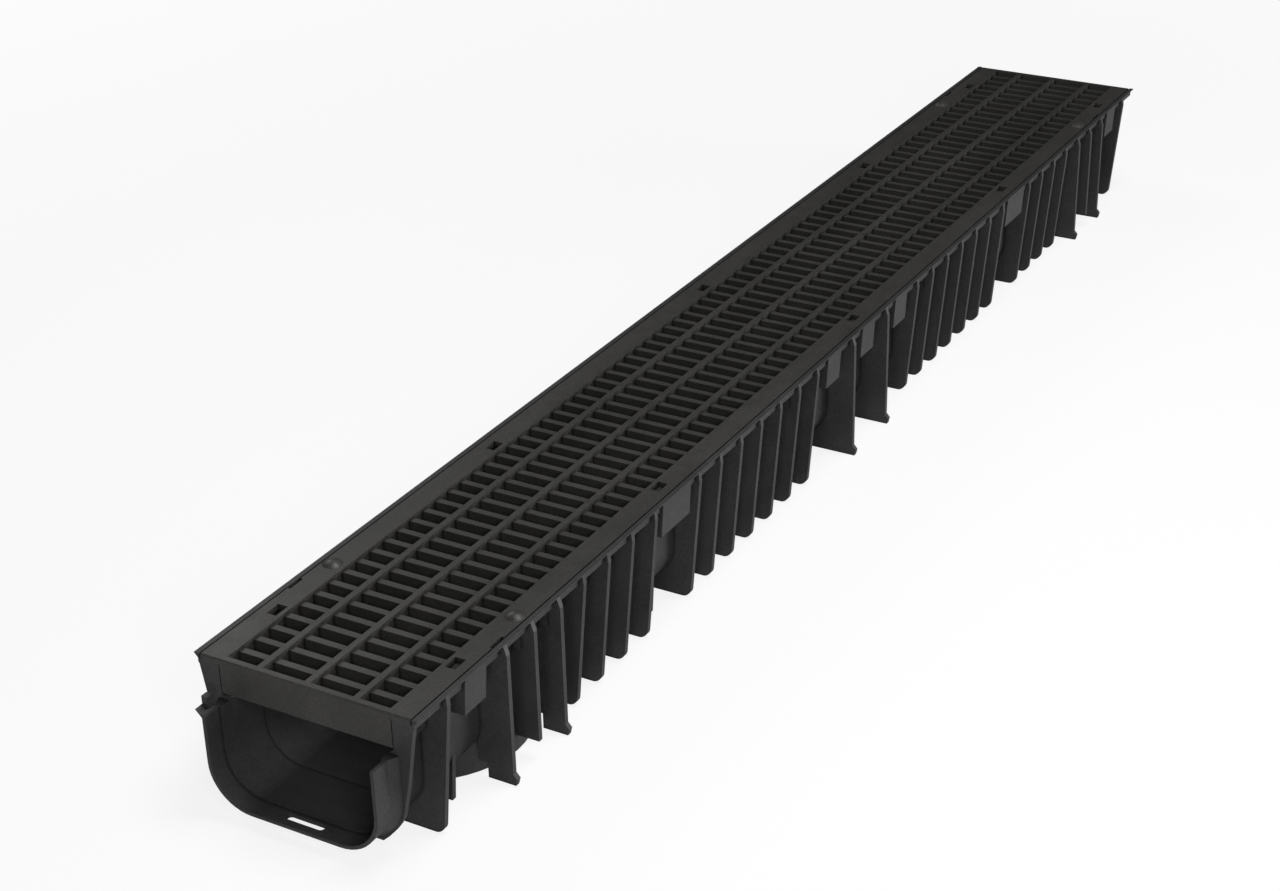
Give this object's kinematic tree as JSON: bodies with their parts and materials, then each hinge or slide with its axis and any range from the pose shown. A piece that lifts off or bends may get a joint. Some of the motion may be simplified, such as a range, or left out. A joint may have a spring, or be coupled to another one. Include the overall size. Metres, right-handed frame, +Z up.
{
  "type": "linear drainage channel with grating",
  "caption": "Ribbed trough of moulded plastic with a sleeve end, a spigot end and a closed outlet below, covered by a slotted grating that lifts off.",
  "frame": {"origin": "under the middle of the overall length, on the ground plane of the rib feet", "axes": "+X along the channel towards the spigot end, +Z up"},
  "size_m": [1.0264, 0.1388, 0.0838],
  "materials": {
    "channel_plastic": "fine moulded texture",
    "grating_plastic": "fine moulded texture"
  },
  "bodies": {
    "channel": {"channel_body": "channel_plastic"},
    "grating": {"grating": "grating_plastic"}
  },
  "joints": [
    {"name": "grating_lift", "type": "slide", "parent": "channel", "child": "grating", "axis": [0, 0, 1], "range_m": [0, 0.04]}
  ]
}
